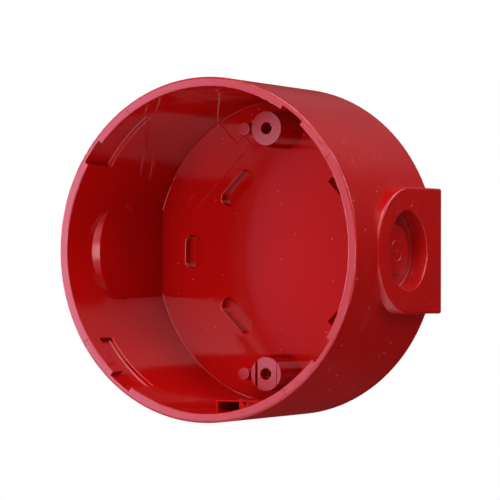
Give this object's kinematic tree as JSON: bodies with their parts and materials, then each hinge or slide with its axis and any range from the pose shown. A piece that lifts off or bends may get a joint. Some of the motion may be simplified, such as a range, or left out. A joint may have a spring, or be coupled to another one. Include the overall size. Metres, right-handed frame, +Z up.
{
  "type": "alarm sounder mounting base",
  "caption": "Deep round wall base for a fire alarm sounder: open bayonet mouth, screw pillars, arched side cable entries and break-out blanks.",
  "frame": {"origin": "centre of the flat back face, where the base meets the wall", "axes": "+Y goes out of the back face into the wall, the open mouth faces -Y, +Z is up, the side cable entries are on +X and -X"},
  "size_m": [0.093, 0.0477, 0.093],
  "materials": {
    "red_abs": "moulded signal red ABS, polished inside and satin outside",
    "red_abs_blank": "the same signal red ABS, thin break-out webs"
  },
  "bodies": {
    "base": {"mounting_base": "red_abs"},
    "entry_blank_right": {"entry_blank_right": "red_abs_blank"},
    "entry_blank_left": {"entry_blank_left": "red_abs_blank"},
    "slot_blank_left": {"slot_blank_left": "red_abs_blank"},
    "slot_blank_right": {"slot_blank_right": "red_abs_blank"},
    "slot_blank_upper": {"slot_blank_upper": "red_abs_blank"},
    "slot_blank_lower": {"slot_blank_lower": "red_abs_blank"},
    "rear_blank_upper": {"rear_blank_upper": "red_abs_blank"},
    "rear_blank_lower": {"rear_blank_lower": "red_abs_blank"}
  },
  "joints": [
    {"name": "knock_in_entry_blank_right", "type": "slide", "parent": "base", "child": "entry_blank_right", "axis": [-1, 0, 0], "range_m": [0, 0.012]},
    {"name": "knock_in_entry_blank_left", "type": "slide", "parent": "base", "child": "entry_blank_left", "axis": [1, 0, 0], "range_m": [0, 0.012]},
    {"name": "push_out_slot_blank_left", "type": "slide", "parent": "base", "child": "slot_blank_left", "axis": [0, -1, 0], "range_m": [0, 0.006]},
    {"name": "push_out_slot_blank_right", "type": "slide", "parent": "base", "child": "slot_blank_right", "axis": [0, -1, 0], "range_m": [0, 0.006]},
    {"name": "push_out_slot_blank_upper", "type": "slide", "parent": "base", "child": "slot_blank_upper", "axis": [0, -1, 0], "range_m": [0, 0.006]},
    {"name": "push_out_slot_blank_lower", "type": "slide", "parent": "base", "child": "slot_blank_lower", "axis": [0, -1, 0], "range_m": [0, 0.006]},
    {"name": "push_out_rear_blank_upper", "type": "slide", "parent": "base", "child": "rear_blank_upper", "axis": [0, -1, 0], "range_m": [0, 0.006]},
    {"name": "push_out_rear_blank_lower", "type": "slide", "parent": "base", "child": "rear_blank_lower", "axis": [0, -1, 0], "range_m": [0, 0.006]}
  ]
}
